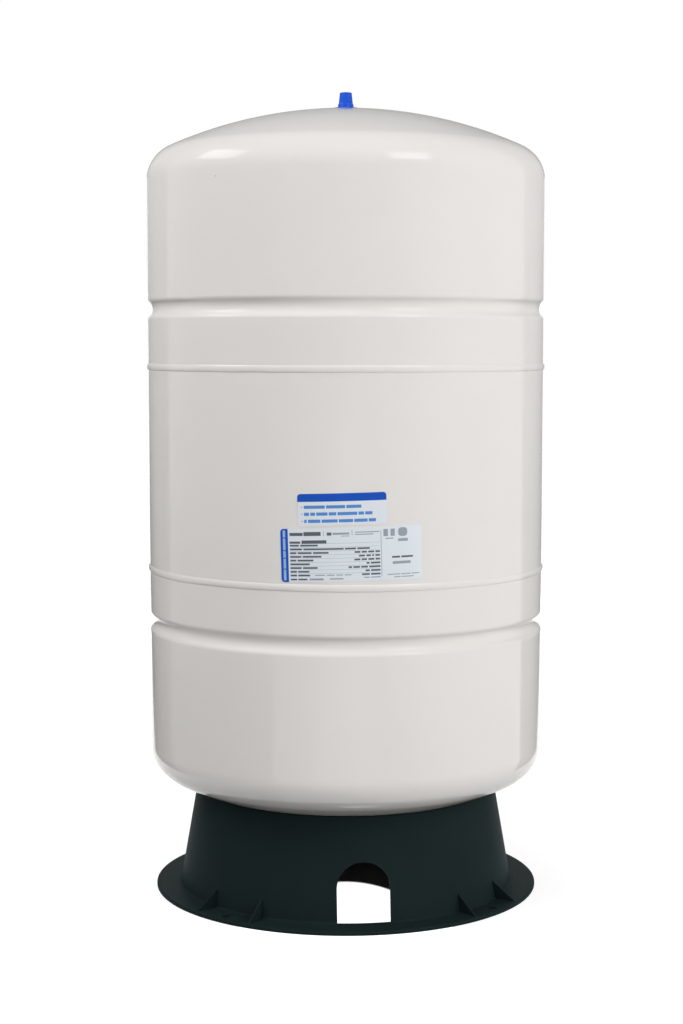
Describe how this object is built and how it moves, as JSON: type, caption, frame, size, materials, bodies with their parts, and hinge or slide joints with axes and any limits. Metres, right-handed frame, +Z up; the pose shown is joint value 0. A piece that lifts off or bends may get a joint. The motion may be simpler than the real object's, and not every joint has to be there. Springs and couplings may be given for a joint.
{
  "type": "reverse osmosis storage tank",
  "caption": "Upright steel pressure tank with domed ends, rolled grooves and weld beads, on a black moulded stand with an arched door and a blue valve cap on top.",
  "frame": {"origin": "on the floor under the tank's axis, at the centre of the stand's underside", "axes": "+Z up along the tank's axis, -Y towards the side with the labels; the stand's door is turned 6 degrees from -Y towards +X"},
  "size_m": [0.3972, 0.3972, 0.7967],
  "materials": {
    "enamel": "gloss",
    "liner_plastic": "satin",
    "butyl": "matte",
    "hoop_steel": "satin",
    "stainless": "satin",
    "seal_rubber": "matte",
    "brass": "satin",
    "pin_steel": "satin",
    "cap_plastic": "gloss",
    "stand_plastic": "satin",
    "label_film": "satin"
  },
  "bodies": {
    "vessel": {"upper_dome": "enamel", "shell_course": "enamel", "lower_dome": "enamel", "upper_weld": "enamel", "lower_weld": "enamel", "seam_weld": "enamel", "liner": "liner_plastic", "diaphragm": "butyl", "clench_ring": "hoop_steel", "water_connection": "stainless", "connection_seal": "seal_rubber", "connection_nut": "stainless", "valve_boss": "hoop_steel", "stem_gasket": "seal_rubber", "valve_stem": "brass", "core_body": "brass", "core_spring": "pin_steel", "stand": "stand_plastic", "weld_studs": "pin_steel", "push_nuts": "pin_steel", "rating_label": "label_film", "notice_label": "label_film"},
    "pin": {"core_pin": "pin_steel", "core_seal": "seal_rubber"},
    "cap_washer": {"cap_seal": "seal_rubber"},
    "cap": {"valve_cap": "cap_plastic"}
  },
  "joints": [
    {"name": "cap_rise", "type": "slide", "parent": "vessel", "child": "cap_washer", "axis": [0, 0, 1], "range_m": [0, 0.006]},
    {"name": "cap_turn", "type": "hinge", "parent": "cap_washer", "child": "cap", "pos_m": [0, 0, 0.78], "axis": [0, 0, 1], "range_deg": [0, 2720]},
    {"name": "pin_press", "type": "slide", "parent": "vessel", "child": "pin", "axis": [0, 0, -1], "range_m": [0, 0.0012], "stiffness_N_per_m": 800, "springref_m": -0.002, "deforming": ["core_spring"]}
  ],
  "couplings": [
    {"joint": "cap_rise", "follows": "cap_turn", "m_per_rad": 0.00012637}
  ]
}
